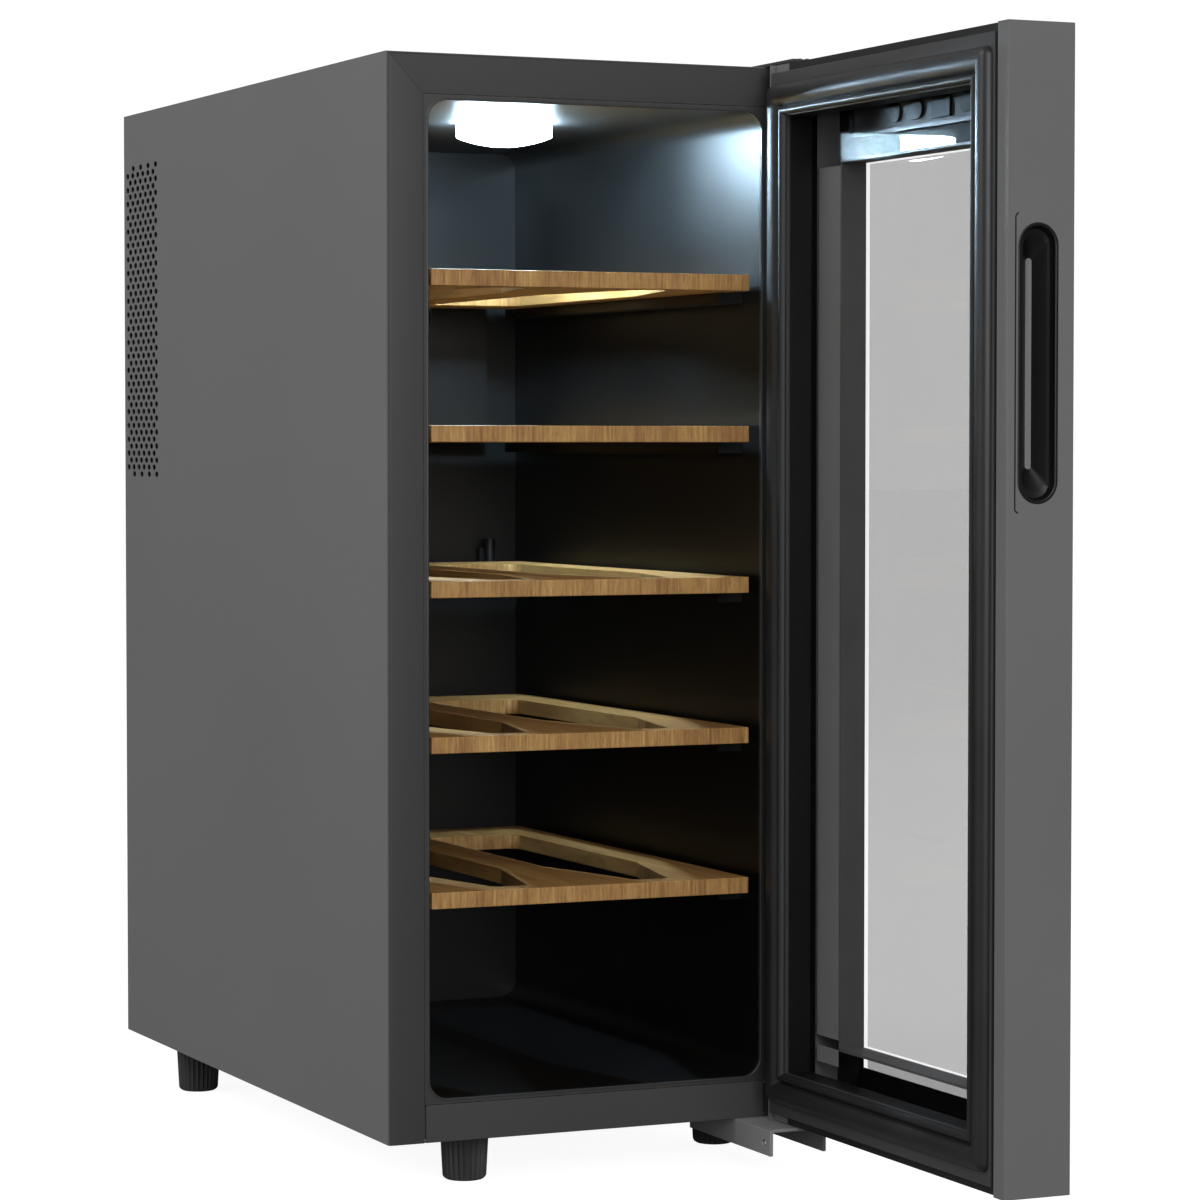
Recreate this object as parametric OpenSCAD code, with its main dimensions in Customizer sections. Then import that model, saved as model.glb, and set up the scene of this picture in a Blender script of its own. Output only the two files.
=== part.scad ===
// Slim thermoelectric wine cooler with a glass door, five wooden shelves and twelve bottle places.
// Stored with its door standing open at a right angle. Origin: on the floor, in the middle of the
// space that the cooler and its open door take.

/* [Cabinet] */
// Width of the steel cabinet
cabinet_w = 252; // [248:1:258]
// Depth of the steel cabinet
cabinet_d = 473; // [471:1:476]
// Height of the steel cabinet without its feet
cabinet_h = 599; // [597:1:602]
// Thickness of the steel sheet
sheet = 1; // [0.8:0.1:1.2]
// Width of the front flange on the side panels
flange_w = 21; // [20:0.5:22]
// Height of the front flange on the top panel
flange_top = 22.4; // [21:0.2:23]

/* [Cavity] */
// Thickness of the insulated side walls
wall_side = 24; // [23:0.5:25]
// Height of the cavity floor above the cabinet bottom
floor_z = 23.8; // [23:0.2:24.6]
// Height of the cavity ceiling
ceiling_z = 573.4; // [573:0.2:575]
// Depth of the cavity
cavity_d = 356; // [354:1:358]
// Corner radius of the cavity
cavity_r = 11; // [9:1:14]
// Wall thickness of the plastic liner
liner_t = 1.5; // [1.2:0.1:2]

/* [Shelves] */
// Height of the lowest shelf's top face
shelf_z = 138.1; // [136:0.1:140]
// Distance from one shelf to the next
shelf_pitch = 85.8; // [84:0.1:86]
// Thickness of the wooden boards
shelf_t = 9.2; // [8:0.2:12]
// Depth of the wooden boards
shelf_d = 330; // [320:5:335]
// Width of a bottle cut-out
cradle_w = 60; // [54:1:64]
// Distance between the two bottles on a shelf
bottle_pitch = 87; // [84:1:90]

/* [Side vents] */
// Diameter of the vent holes
vent_hole = 4; // [3:0.5:4.5]
// Number of rows of vent holes
vent_rows = 45; // [9:2:47]
// Height from one row of vent holes to the next
vent_pitch = 4.5; // [4.4:0.1:5]

/* [Door] */
// Width of the door
door_w = 265; // [264:1:266]
// Thickness of the door
door_t = 39; // [38:0.5:40]
// Gap between the cabinet front and the closed door
door_gap = 6; // [6:0.5:7]
// Thickness of each glass pane
glass_t = 4; // [3:0.5:4]
// Angle at which the door stands open
door_open = 90; // [0:5:110]

/* [Handle] */
// Height of the handle's centre above the cabinet bottom
handle_z = 425.9; // [380:1:470]
// Length of the finger recess
handle_len = 142.4; // [120:1:160]
// Width of the finger recess
handle_w = 23.4; // [20:0.2:24]

/* [Feet] */
// Height of the feet
foot_h = 27; // [22:1:30]
// Diameter of a foot at its top
foot_d = 27.6; // [24:0.4:30]

/* [Hidden] */
$fn = 48;

steel_grey = "#676767";
frame_grey = "#3f3f40";
plastic_black = "#19191b";
bright_metal = "#b9bcc0";
pale_wood = "#a5773f";
board_green = "#1f5a37";

eps = 0.01;
gap = 0.3;

// cabinet
inner_w = cabinet_w - 2 * sheet;
vent_z = cabinet_h - 35;
vent_y = 407;
vent_step = 10.6;
rear_flange = 12;
trim_gap = 1;
compartment_y = 390;

// cavity
cavity_x0 = wall_side;
cavity_x1 = cabinet_w - wall_side;
cavity_w = cavity_x1 - cavity_x0;
cavity_h = ceiling_z - floor_z;

// shelves: the hinge side stays clear of the seal of the open door
shelf_x0 = wall_side + 2;
shelf_x1 = 220.8;
shelf_y = 1;
rail_t = 6;
rail_y0 = 25;
rail_y1 = 338;

// lamp, in the middle of the ceiling near the front
lamp_y = 134;
lamp_r = 28;
lamp_side = 8;
lamp_dome = 5.5;
lamp_R = (lamp_r * lamp_r + lamp_dome * lamp_dome) / (2 * lamp_dome);

// cooling unit, behind the upper shelves
unit_x = cabinet_w / 2;
unit_z = 466;
cover_w = 150;
cover_y = 340;
cold_fan_w = 80;
cold_fan_t = 10;
cold_fan_y = cover_y + 3;
cold_fan_hole = 35.75;
cold_sink_y = 359;
hot_sink_y = compartment_y + 1;
hot_fan_w = 120;
hot_fan_t = 25;
hot_fan_y = 426;
hot_fan_hole = 52.5;
shaft_r = 3;
running = 0.05;

// door, drawn closed: x runs from the free edge to the hinge edge
door_x1 = cabinet_w;
door_x0 = door_x1 - door_w;
door_y1 = -door_gap;
door_y0 = door_y1 - door_t;
door_z0 = 0.5;
door_z1 = cabinet_h - 0.5;
door_h = door_z1 - door_z0;
profile_t = 1.5;
pivot = [242.5, -21.5];
pin_r = 3;
glass_y1 = door_y0 + glass_t;
inner_glass_y = door_y1 - 20;
window_x0 = 37;
window_x1 = 203;
window_z0 = 46.5;
window_z1 = 541.7;
spacer_w = 1.5;
control_x0 = 30;
control_x1 = 216;
control_z0 = 556;
control_z1 = 575;
key_x = [60, 85, 142, 167];
key_z = 566.5;
display_x0 = 103.5;
display_x1 = 123.5;
display_h = 12.6;
key_w = 16;
key_h = 10.4;
frame_w = 2;
board_t = 1.6;
pad_t = 1.4;
liner_plate = 3;
liner_step = 4.5;
wall_t = 2;
seal_x0 = 3;
seal_x1 = 249;
seal_z0 = 12;
seal_z1 = 587;
seal_w = 18;

// middle of the space that the cooler takes with its door open at a right angle
rear_heads = 2;
middle_x = (pivot.x + pivot.y - door_y0) / 2;
middle_y = (pivot.y - pivot.x + door_x0 + cabinet_d + rear_heads) / 2;

// feet
foot_places = [[57, 30], [235, 75], [17.5, 380], [234.5, 380]];
stud_r = 4;

// screws
shell_screw_z = [40, 200, 330, 560];
lower_screw_y = [15, 34, 52];
top_screw_y = [14, 30];
rail_screw_x = [30, 200];
rail_screw_y = -24;

// ---- placing -------------------------------------------------------------------------------

module place() {
  translate([-middle_x, -middle_y, foot_h]) children();
}

module on_door() {
  place() translate([pivot.x, pivot.y, 0]) rotate([0, 0, door_open])
    translate([-pivot.x, -pivot.y, 0]) children();
}

// extrudes an outline drawn in x and z from y0 to y1
module along_y(y0, y1) {
  translate([0, y1, 0]) rotate([90, 0, 0]) linear_extrude(y1 - y0) children();
}

module block(x0, x1, y0, y1, z0, z1) {
  translate([x0, y0, z0]) cube([x1 - x0, y1 - y0, z1 - z0]);
}

module rounded_outline(w, h, r) {
  translate([r, 0]) square([w - 2 * r, h]);
  translate([0, r]) square([w, h - 2 * r]);
  for (x = [r, w - r], y = [r, h - r]) translate([x, y]) circle(r);
}

// a screw driven in the -y direction, its head standing on y0
module screw_y(x, y0, z, r, head_r, length, head_t = 2) {
  translate([x, y0, z]) rotate([-90, 0, 0]) {
    cylinder(h = head_t, r = head_r);
    translate([0, 0, -length]) cylinder(h = length + eps, r = r);
  }
}

// ---- steel shell ---------------------------------------------------------------------------

module vent_outline() {
  for (row = [0 : vent_rows - 1]) {
    last = row == 0 || row == vent_rows - 1;
    count = last ? 4 : 6;
    step = last ? 15.5 : vent_step;
    start = last ? vent_y : vent_y + (row % 2) * vent_step / 2;
    for (i = [0 : count - 1])
      translate([start + i * step, vent_z - row * vent_pitch]) circle(d = vent_hole, $fn = 24);
  }
}

module side_panel() {
  // wall with vent holes, the outline drawn in y and z
  rotate([90, 0, 90]) linear_extrude(sheet) difference() {
    square([cabinet_d, cabinet_h]);
    vent_outline();
  }
  // front flange with a mitred top end
  along_y(0, sheet) polygon([[sheet, 0], [flange_w, 0], [flange_w, cabinet_h - flange_top],
    [sheet, cabinet_h - sheet * flange_top / flange_w]]);
  // rear flange behind the back panel
  difference() {
    block(sheet, sheet + rear_flange, cabinet_d - 2 * sheet, cabinet_d - sheet, 2, cabinet_h - 2);
    for (z = shell_screw_z)
      translate([7, cabinet_d, z]) rotate([90, 0, 0]) cylinder(h = 4, r = 2, $fn = 24);
  }
}

module left_side_panel() { color(steel_grey) place() side_panel(); }

module right_side_panel() {
  color(steel_grey) place() translate([cabinet_w, 0, 0]) mirror([1, 0, 0]) side_panel();
}

module top_panel() {
  color(steel_grey) place() difference() {
    union() {
      block(sheet, cabinet_w - sheet, sheet, cabinet_d - sheet, cabinet_h - sheet, cabinet_h);
      along_y(0, sheet) polygon([
        [sheet, cabinet_h], [sheet, cabinet_h - sheet * flange_top / flange_w],
        [flange_w, cabinet_h - flange_top], [cabinet_w - flange_w, cabinet_h - flange_top],
        [cabinet_w - sheet, cabinet_h - sheet * flange_top / flange_w], [cabinet_w - sheet, cabinet_h]
      ]);
      // rear edge folded over the back panel
      block(sheet, cabinet_w - sheet, cabinet_d - sheet, cabinet_d, cabinet_h - 2, cabinet_h);
    }
    for (y = top_screw_y) translate([pivot.x, y, cabinet_h - 3]) cylinder(h = 6, r = 2.1, $fn = 24);
  }
}

module bottom_trim_rail() {
  color(frame_grey) place() difference() {
    union() {
      block(flange_w + trim_gap, cabinet_w - flange_w - trim_gap, 0, sheet, 0, floor_z - 3);
      block(flange_w + trim_gap, cabinet_w - flange_w - trim_gap, sheet, 14, 0, sheet);
    }
    translate([231, 15, -1]) cylinder(h = 4, r = 2.4, $fn = 24);
  }
}

module bottom_pan() {
  color(steel_grey) place() difference() {
    block(sheet, cabinet_w - sheet, sheet, cabinet_d - 2 * sheet, sheet, 2 * sheet);
    for (p = foot_places) translate([p.x, p.y, 0]) cylinder(h = 3, r = stud_r + 0.6);
    for (y = lower_screw_y) translate([231, y, 0]) cylinder(h = 3, r = 2.4, $fn = 24);
  }
}

module rear_bulkhead() {
  color("#8d9093") place() difference() {
    block(sheet, cabinet_w - sheet, compartment_y, compartment_y + 1, 2, cabinet_h - sheet - 0.5);
    block(unit_x - 60, unit_x + 60, compartment_y - 1, compartment_y + 2, unit_z - 55, unit_z + 55);
  }
}

module grille_outline() {
  difference() {
    for (r = [12 : 9 : 57]) difference() {
      circle(r + 5);
      circle(r);
    }
    for (a = [0 : 60 : 150]) rotate(a) square([130, 5], center = true);
  }
}

module back_panel() {
  color("#303133") place() along_y(cabinet_d - sheet, cabinet_d) difference() {
    translate([sheet, 1]) square([inner_w, cabinet_h - 3]);
    translate([unit_x, unit_z]) grille_outline();
    for (i = [0 : 7]) translate([36, 96 + i * 12]) rounded_outline(90, 5, 2.4);
    translate([176.5, 52]) square([28, 20]);
    for (x = [7, cabinet_w - 7], z = shell_screw_z) translate([x, z]) circle(2.1, $fn = 24);
  }
}

module shell_screws() {
  color(bright_metal) place()
    for (x = [7, cabinet_w - 7], z = shell_screw_z)
      screw_y(x, cabinet_d, z, 1.8, 3.4, 7);
}

// ---- insulated body ------------------------------------------------------------------------

module cavity_outline(grow) {
  translate([cavity_x0 - grow, floor_z - grow])
    rounded_outline(cavity_w + 2 * grow, cavity_h + 2 * grow, cavity_r + grow);
}

module inner_liner() {
  lip = wall_side - flange_w - gap;
  color(plastic_black) place() {
    difference() {
      along_y(0, cavity_d + liner_t) cavity_outline(liner_t);
      along_y(-1, cavity_d) cavity_outline(0);
      block(unit_x - 56, unit_x + 56, cavity_d - 1, cavity_d + 3, unit_z - 51, unit_z + 51);
    }
    // flat rim that fills the gap up to the steel flanges
    along_y(0.2, 2) difference() {
      translate([cavity_x0 - lip, floor_z - 2.7])
        square([cavity_w + 2 * lip, cavity_h + 2.7 + cabinet_h - flange_top - gap - ceiling_z]);
      cavity_outline(liner_t - eps);
    }
  }
}

module insulation_foam() {
  color("#e2d9b8") place() difference() {
    block(sheet + gap, cabinet_w - sheet - gap, 2 + gap, compartment_y - gap,
      2 * sheet + gap, cabinet_h - sheet - gap);
    along_y(0, cavity_d + liner_t + gap) cavity_outline(liner_t + gap);
    block(unit_x - 60, unit_x + 60, cavity_d - 1, compartment_y + 1, unit_z - 55, unit_z + 55);
    for (p = foot_places) translate([p.x, p.y, 0]) cylinder(h = 19, r = 9.2);
    for (y = lower_screw_y) translate([231, y, 0]) cylinder(h = 12, r = 4);
    for (y = top_screw_y) translate([pivot.x, y, cabinet_h - 10]) cylinder(h = 12, r = 4);
    // room for the trim rail and the flat rim of the liner
    block(flange_w - 1, cabinet_w - flange_w + 1, 0, 15, 0, floor_z - 2);
  }
}

// ---- shelves -------------------------------------------------------------------------------

function shelf_top(i) = shelf_z + i * shelf_pitch;

module rails(x0, x1) {
  for (i = [0 : 4]) {
    top = shelf_top(i) - shelf_t - 0.2;
    block(x0, x1, rail_y0, rail_y1, top - rail_t, top);
  }
}

module left_shelf_rails() { color(plastic_black) place() rails(cavity_x0, cavity_x0 + 9); }

module right_shelf_rails() { color(plastic_black) place() rails(cavity_x1 - 15, cavity_x1); }

// a tapered outline with round corners, as straight edges and four arcs
module tapered_outline(w0, w1, y0, y1, r) {
  a = atan2((w1 - w0) / 2, y1 - y0);
  c0 = w0 / 2 - r;
  c1 = w1 / 2 - r;
  polygon([
    [-c0 - r * cos(a), y0 + r + r * sin(a)], [-c0, y0], [c0, y0],
    [c0 + r * cos(a), y0 + r + r * sin(a)], [c1 + r * cos(a), y1 - r + r * sin(a)],
    [c1, y1], [-c1, y1], [-c1 - r * cos(a), y1 - r + r * sin(a)]
  ]);
  for (s = [-1, 1]) {
    translate([s * c0, y0 + r]) circle(r);
    translate([s * c1, y1 - r]) circle(r);
  }
}

// one bottle place, shaped like the bottle: narrow for the neck in front, wide for the body
module cradle_outline() {
  r = 8;
  neck_w = 24;
  front = 14;
  shoulder = 92;
  back = shelf_d - 48;
  tapered_outline(neck_w, cradle_w, front, shoulder + 2 * r, r);
  translate([-cradle_w / 2, shoulder]) rounded_outline(cradle_w, back - shoulder, r);
}

module shelf(i) {
  w = shelf_x1 - shelf_x0;
  color(pale_wood) place() translate([shelf_x0, shelf_y, shelf_top(i) - shelf_t])
    linear_extrude(shelf_t) difference() {
      square([w, shelf_d]);
      for (side = [-1, 1]) translate([(w + side * bottle_pitch) / 2, 0]) cradle_outline();
    }
}

module shelf_1() { shelf(4); }
module shelf_2() { shelf(3); }
module shelf_3() { shelf(2); }
module shelf_4() { shelf(1); }
module shelf_5() { shelf(0); }

// ---- lamp ----------------------------------------------------------------------------------

// half section of a shallow dome that hangs from the ceiling
module dome_outline(r, side, big_r, drop) {
  translate([0, -side]) square([r, side]);
  intersection() {
    translate([0, -side - drop]) square([r, drop + eps]);
    translate([0, -side - drop + big_r]) circle(big_r, $fn = 96);
  }
}

module lamp_lens() {
  t = 1.6;
  color("#eef5ff") place() translate([unit_x, lamp_y, ceiling_z]) rotate_extrude() difference() {
    dome_outline(lamp_r, lamp_side, lamp_R, lamp_dome);
    translate([-eps, eps]) dome_outline(lamp_r - t, lamp_side, lamp_R - t, lamp_dome - t);
    translate([-1, -lamp_side - lamp_dome - 1]) square([1, 30]);
  }
}

module lamp_base() {
  color("#d8d8d8") place() translate([unit_x, lamp_y, ceiling_z - 2.5]) difference() {
    cylinder(h = 2.5, r = lamp_r - 1.9);
    translate([0, 0, -1]) cylinder(h = 5, r = 5);
  }
}

module lamp_board() {
  color("#f2f2ee") place() translate([unit_x, lamp_y, ceiling_z - 4.1]) {
    cylinder(h = 1.6, r = 23);
    for (a = [0 : 60 : 300]) rotate(a) translate([13.5, -1.75, -1.4]) cube([3.5, 3.5, 1.4 + eps]);
  }
}

// ---- cooling unit --------------------------------------------------------------------------

module round_slots(r0, r1, pitch, width) {
  difference() {
    for (r = [r0 : pitch : r1]) difference() {
      circle(r + width);
      circle(r);
    }
    for (a = [45, 135]) rotate(a) square([2 * r1 + 30, 4], center = true);
  }
}

module cold_fan_cover() {
  half = cover_w / 2;
  t = 2;
  color(plastic_black) place() difference() {
    block(unit_x - half, unit_x + half, cover_y, cavity_d, unit_z - half, unit_z + half);
    block(unit_x - half + t, unit_x + half - t, cover_y + t, cavity_d + 1,
      unit_z - half + t, unit_z + half - t);
    translate([unit_x, 0, unit_z]) along_y(cover_y - 1, cover_y + t + 1) round_slots(9, 33, 6, 3.4);
    // outlet slots in the upper and lower walls
    for (i = [-4 : 4])
      block(unit_x + i * 15 - 4, unit_x + i * 15 + 4, cover_y + 5, cover_y + 11,
        unit_z - half - 1, unit_z + half + 1);
  }
}

// square fan frame with a round duct, four screw holes, three struts and a central shaft
module fan_frame(w, t, bore_r, hub_r, hole, y) {
  place() translate([unit_x, y, unit_z]) {
    along_y(0, t) difference() {
      translate([-w / 2, -w / 2]) rounded_outline(w, w, 4);
      circle(bore_r, $fn = 96);
      for (sx = [-1, 1], sz = [-1, 1]) translate([sx * hole, sz * hole]) circle(2.2, $fn = 24);
    }
    along_y(t - 2.5, t) {
      circle(hub_r);
      for (a = [90, 210, 330]) rotate(a) translate([0, -2]) square([bore_r + 1, 4]);
    }
    along_y(2.5, t - 2.4) circle(shaft_r);
  }
}

// cupped hub with a bore for the shaft and tilted blades
module fan_rotor(t, hub_r, blade_r, blades, y) {
  depth = t - 4;
  place() translate([unit_x, y, unit_z]) rotate([90, 0, 0]) translate([0, 0, -depth - 0.8]) {
    difference() {
      cylinder(h = depth, r = hub_r);
      translate([0, 0, -eps]) cylinder(h = depth - 1.2, r = shaft_r + running);
    }
    for (i = [0 : blades - 1]) rotate(i * 360 / blades) translate([hub_r - 1, 0, depth / 2])
      rotate([35, 0, 0]) translate([0, -0.6, -depth * 0.42]) cube([blade_r - hub_r, 1.2, depth * 0.84]);
  }
}

module cold_fan_frame() {
  color("#26262a") fan_frame(cold_fan_w, cold_fan_t, 38, 15, cold_fan_hole, cold_fan_y);
}

module cold_fan_rotor() { color("#1a1a1d") fan_rotor(cold_fan_t, 15, 36.4, 9, cold_fan_y); }

module hot_fan_frame() {
  color("#26262a") fan_frame(hot_fan_w, hot_fan_t, 57.5, 20, hot_fan_hole, hot_fan_y);
}

module hot_fan_rotor() { color("#1a1a1d") fan_rotor(hot_fan_t, 20, 55.5, 7, hot_fan_y); }

module finned_sink(w, h, y_base, base_t, fin_y0, fin_y1, fins) {
  block(unit_x - w / 2, unit_x + w / 2, y_base, y_base + base_t, unit_z - h / 2, unit_z + h / 2);
  for (i = [0 : fins - 1]) {
    x = unit_x - w / 2 + 0.75 + i * (w - 1.5) / (fins - 1);
    block(x - 0.75, x + 0.75, fin_y0, fin_y1, unit_z - h / 2, unit_z + h / 2);
  }
}

module cold_sink() {
  color("#b4b8bc") place()
    finned_sink(100, 90, compartment_y - 9, 6, cold_sink_y, compartment_y - 9 + eps, 15);
}

module peltier_module() {
  color("#e9e9e4") place()
    block(unit_x - 20, unit_x + 20, compartment_y - 3, hot_sink_y, unit_z - 20, unit_z + 20);
}

module hot_sink() {
  color("#b4b8bc") place()
    finned_sink(140, 124, hot_sink_y, 6, hot_sink_y + 6 - eps, hot_fan_y - 1, 20);
}

module fan_screws() {
  color(bright_metal) place() for (sx = [-1, 1], sz = [-1, 1]) {
    screw_y(unit_x + sx * hot_fan_hole, hot_fan_y + hot_fan_t, unit_z + sz * hot_fan_hole, 1.9, 3.6,
      hot_fan_t + 0.8);
    screw_y(unit_x + sx * cold_fan_hole, cold_fan_y + cold_fan_t, unit_z + sz * cold_fan_hole, 1.9, 3.4,
      cold_fan_t + 0.9, 1.5);
  }
}

// ---- electrics -----------------------------------------------------------------------------

module circuit_board(x, z, w, h) {
  board_y = compartment_y + 7;
  block(x, x + w, board_y, board_y + 1.6, z, z + h);
  for (dx = [5, w - 5], dz = [5, h - 5])
    translate([x + dx, board_y, z + dz]) rotate([90, 0, 0]) cylinder(h = 6, r = 2.5, $fn = 24);
}

module control_board() {
  color(board_green) place() {
    circuit_board(140, 110, 84, 100);
    block(150, 166, compartment_y + 8.6, compartment_y + 12, 130, 146);
    block(176, 196, compartment_y + 8.6, compartment_y + 22, 122, 140);
    block(150, 212, compartment_y + 8.6, compartment_y + 18, 186, 196);
  }
}

module power_supply() {
  top = compartment_y + 8.6;
  color("#a9acae") place() {
    circuit_board(32, 84, 92, 150);
    block(42, 74, top, top + 30, 96, 130);
    block(84, 116, top, top + 26, 150, 186);
    block(42, 70, top, top + 12, 196, 222);
    for (x = [88, 106], z = [104, 124])
      translate([x, top, z]) rotate([-90, 0, 0]) cylinder(h = 28, r = 7);
  }
}

module power_inlet() {
  color(plastic_black) place() {
    difference() {
      union() {
        block(165.5, 215.5, cabinet_d, cabinet_d + 2, 48, 76);
        block(177, 204, cabinet_d - 22, cabinet_d + 1, 52.5, 71.5);
      }
      block(179.5, 201.5, cabinet_d - 17, cabinet_d + 3, 54.5, 69.5);
      for (x = [170.5, 210.5])
        translate([x, cabinet_d + 3, 62]) rotate([90, 0, 0]) cylinder(h = 4, r = 1.8, $fn = 24);
    }
    for (x = [-7, 0, 7])
      block(190.5 + x - 1, 190.5 + x + 1, cabinet_d - 17.5, cabinet_d - 3, x == 0 ? 63 : 58, x == 0 ? 67 : 62);
  }
}

module temperature_sensor() {
  color(plastic_black) place() translate([206, cavity_d - 9, 300]) {
    cylinder(h = 24, r = 3.5);
    difference() {
      translate([-6, 2.5, 6]) cube([12, 6.5, 12]);
      translate([0, 0, -1]) cylinder(h = 30, r = 3);
    }
  }
}

// ---- feet ----------------------------------------------------------------------------------

module foot_nuts() {
  color(bright_metal) place() for (p = foot_places) translate([p.x, p.y, 2 * sheet]) difference() {
    cylinder(h = 7, r = 7.5, $fn = 6);
    translate([0, 0, -1]) cylinder(h = 9, r = stud_r + running);
  }
}

module foot(p) {
  color("#1c1c1e") place() translate([p.x, p.y, -foot_h]) {
    cylinder(h = 2, r1 = foot_d / 2 - 3, r2 = foot_d / 2 - 1.5);
    translate([0, 0, 2]) cylinder(h = foot_h - 2 - gap, r1 = foot_d / 2 - 1.5, r2 = foot_d / 2);
    cylinder(h = foot_h + 15, r = stud_r);
  }
}

module foot_front_left() { foot(foot_places[0]); }
module foot_front_right() { foot(foot_places[1]); }
module foot_rear_left() { foot(foot_places[2]); }
module foot_rear_right() { foot(foot_places[3]); }

// ---- hinges --------------------------------------------------------------------------------

module lower_hinge_bracket() {
  x0 = 212;
  x1 = 249;
  y0 = -41;
  y0_left = -44;
  y1 = 60;
  t = 2;
  color("#4a4a4b") place() difference() {
    union() {
      block(x0, x1, y0, y1, -t, 0);
      block(x0, x0 + t, y0_left, y1, -14.7, 0);
      block(x1 - t, x1, y0, y1, -14.7, 0);
    }
    translate([pivot.x, pivot.y, -5]) cylinder(h = 8, r = pin_r + running);
    translate([x0 - 1, -36, -8]) rotate([0, 90, 0]) cylinder(h = 4, r = 1.8, $fn = 24);
    for (y = lower_screw_y) translate([231, y, -5]) cylinder(h = 8, r = 2.4, $fn = 24);
  }
}

module lower_hinge_pin() {
  color(bright_metal) place() translate([pivot.x, pivot.y, 0]) {
    translate([0, 0, -4]) cylinder(h = 2, r = 4.3);
    translate([0, 0, -2 - eps]) cylinder(h = 17 + eps, r = pin_r);
  }
}

module top_hinge_bracket() {
  color("#4a4a4b") place() difference() {
    block(231, 252, -32, 40, cabinet_h, cabinet_h + 2);
    translate([pivot.x, pivot.y, cabinet_h - 1]) cylinder(h = 4, r = pin_r + running);
    for (y = top_screw_y) translate([pivot.x, y, cabinet_h - 1]) cylinder(h = 4, r = 2.1, $fn = 24);
  }
}

module top_hinge_pin() {
  color(bright_metal) place() translate([pivot.x, pivot.y, cabinet_h]) {
    translate([0, 0, 2]) cylinder(h = 1, r = 4.5);
    translate([0, 0, -15]) cylinder(h = 17 + eps, r = pin_r);
  }
}

module hinge_screws() {
  color(bright_metal) place() {
    for (y = lower_screw_y) translate([231, y, 0]) {
      translate([0, 0, -4]) cylinder(h = 2, r = 3.8);
      translate([0, 0, -2 - eps]) cylinder(h = 11, r = 2);
    }
    for (y = top_screw_y) translate([pivot.x, y, cabinet_h]) {
      translate([0, 0, 2]) cylinder(h = 1.2, r = 3.8);
      translate([0, 0, -7]) cylinder(h = 9 + eps, r = 1.9);
    }
  }
}

// ---- door ----------------------------------------------------------------------------------

module door_handle_profile() {
  x0 = door_x0;
  color(steel_grey) on_door() difference() {
    translate([0, 0, door_z0]) linear_extrude(door_h) polygon([
      [x0, door_y0], [x0 + profile_t, door_y0], [x0 + profile_t, glass_y1], [x0 + 11, glass_y1],
      [x0 + 11, glass_y1 + profile_t], [x0 + profile_t, glass_y1 + profile_t],
      [x0 + profile_t, door_y1 - profile_t], [x0 + 11, door_y1 - profile_t], [x0 + 11, door_y1],
      [x0, door_y1]
    ]);
    translate([x0 - 1, -23.8, handle_z]) stadium_x(handle_w / 2 - 1, handle_len - 2, 4);
  }
}

// a bar along +x with a stadium section that stands upright
module stadium_x(r, length, depth) {
  rotate([90, 0, 90]) linear_extrude(depth) {
    square([2 * r, length - 2 * r], center = true);
    for (s = [-1, 1]) translate([0, s * (length / 2 - r)]) circle(r);
  }
}

module handle_insert() {
  r = handle_w / 2;
  floor_w = 4.1;
  floor_len = 107;
  color(plastic_black) on_door() translate([door_x0, -23.8, handle_z]) difference() {
    union() {
      translate([-0.4, 0, 0]) stadium_x(r, handle_len, 0.4);
      translate([-eps, 0, 0]) stadium_x(r - 1.3, handle_len - 2.6, 11);
    }
    hull() {
      translate([-1, 0, 0]) stadium_x(r - 2.2, handle_len - 4.4, 1.1, $fn = 32);
      translate([9.5, -floor_w / 2, -floor_len / 2]) cube([0.3, floor_w, floor_len]);
    }
  }
}

module door_hinge_profile() {
  x0 = door_x1 - 18;
  y1 = door_y1 - 3;
  color(steel_grey) on_door() translate([0, 0, door_z0]) linear_extrude(door_h) {
    difference() {
      translate([x0, glass_y1]) square([18, y1 - glass_y1]);
      translate([x0 + profile_t, glass_y1 + profile_t])
        square([18 - 2 * profile_t, y1 - glass_y1 - 2 * profile_t]);
    }
    translate([door_x1 - profile_t, door_y0]) square([profile_t, door_t]);
  }
}

module hinge_bush(z0, z1) {
  color("#d9d9d6") on_door() difference() {
    block(door_x1 - 18 + profile_t, door_x1 - profile_t, glass_y1 + profile_t, door_y1 - 3 - profile_t,
      z0, z1);
    translate([pivot.x, pivot.y, z0 - 1]) cylinder(h = z1 - z0 + 2, r = pin_r + running);
  }
}

module lower_hinge_bush() { hinge_bush(door_z0, door_z0 + 20); }
module upper_hinge_bush() { hinge_bush(door_z1 - 20, door_z1); }

// channel between the two profiles; its hollow side faces the middle of the door
module door_rail(z_outer, into) {
  z_web = into > 0 ? z_outer : z_outer - 2;
  z_low = into > 0 ? z_outer : z_outer - 14;
  x0 = door_x0 + profile_t;
  x1 = door_x1 - 18;
  y0 = glass_y1 + profile_t;
  y1 = door_y1 - 3;
  block(x0, x1, y0, y1, z_web, z_web + 2);
  block(door_x0 + 11, x1, y0 - profile_t, y0, z_low, z_low + 14);
  block(x0, x1, y1 - 1.5, y1, z_low, z_low + 14);
  block(x0, x0 + 2, y0, y1, z_low, z_low + 14);
}

module rail_screw_holes(z) {
  for (x = rail_screw_x) translate([x, rail_screw_y, z]) cylinder(h = 6, r = 2.1, $fn = 24);
}

module door_top_rail() {
  color(plastic_black) on_door() difference() {
    door_rail(door_z1, -1);
    rail_screw_holes(door_z1 - 3);
  }
}

module door_bottom_rail() {
  color(plastic_black) on_door() difference() {
    door_rail(door_z0, 1);
    rail_screw_holes(door_z0 - 3);
  }
}

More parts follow.
